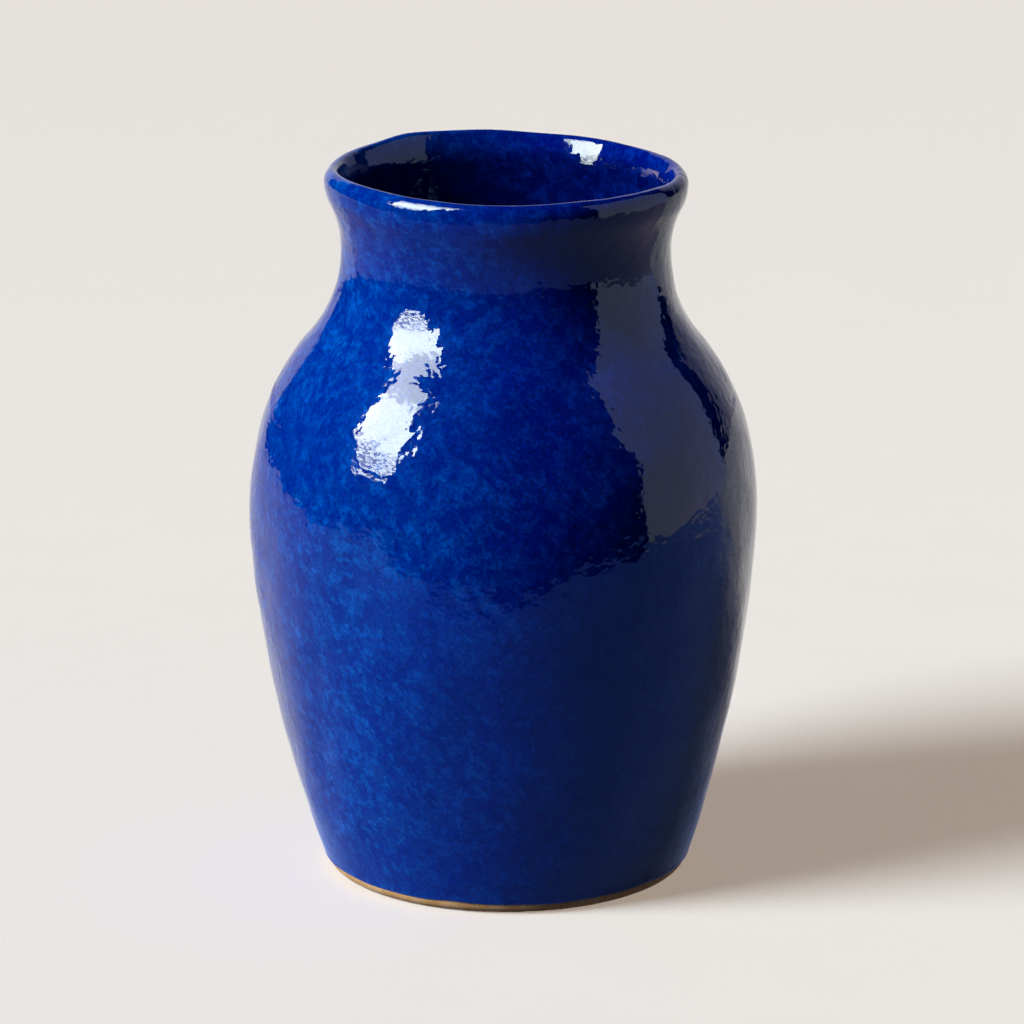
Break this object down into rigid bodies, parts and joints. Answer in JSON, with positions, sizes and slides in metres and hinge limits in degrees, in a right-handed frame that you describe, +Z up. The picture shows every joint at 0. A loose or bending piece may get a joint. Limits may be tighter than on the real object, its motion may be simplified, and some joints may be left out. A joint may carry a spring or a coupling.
{
  "type": "flower vase",
  "caption": "Round-bellied stoneware vase with a flared, rolled lip, glazed inside and out above a bare clay foot, for holding cut flowers.",
  "frame": {"origin": "centre of the foot's underside, on the surface that the vase stands on", "axes": "+Z up along the pot's axis, -Y towards the viewer of the picture, +X to the viewer's right"},
  "size_m": [0.1768, 0.1768, 0.25],
  "materials": {
    "stoneware": "bare fired stoneware, matt and slightly gritty",
    "outer_cobalt_glaze": "glossy mottled cobalt glaze with fine dimples",
    "inner_cobalt_glaze": "glossy cobalt lining glaze"
  },
  "bodies": {
    "root": {"base_slab": "stoneware", "body_wall": "stoneware", "rim_coil": "stoneware", "outer_glaze": "outer_cobalt_glaze", "inner_glaze": "inner_cobalt_glaze"}
  },
  "joints": []
}
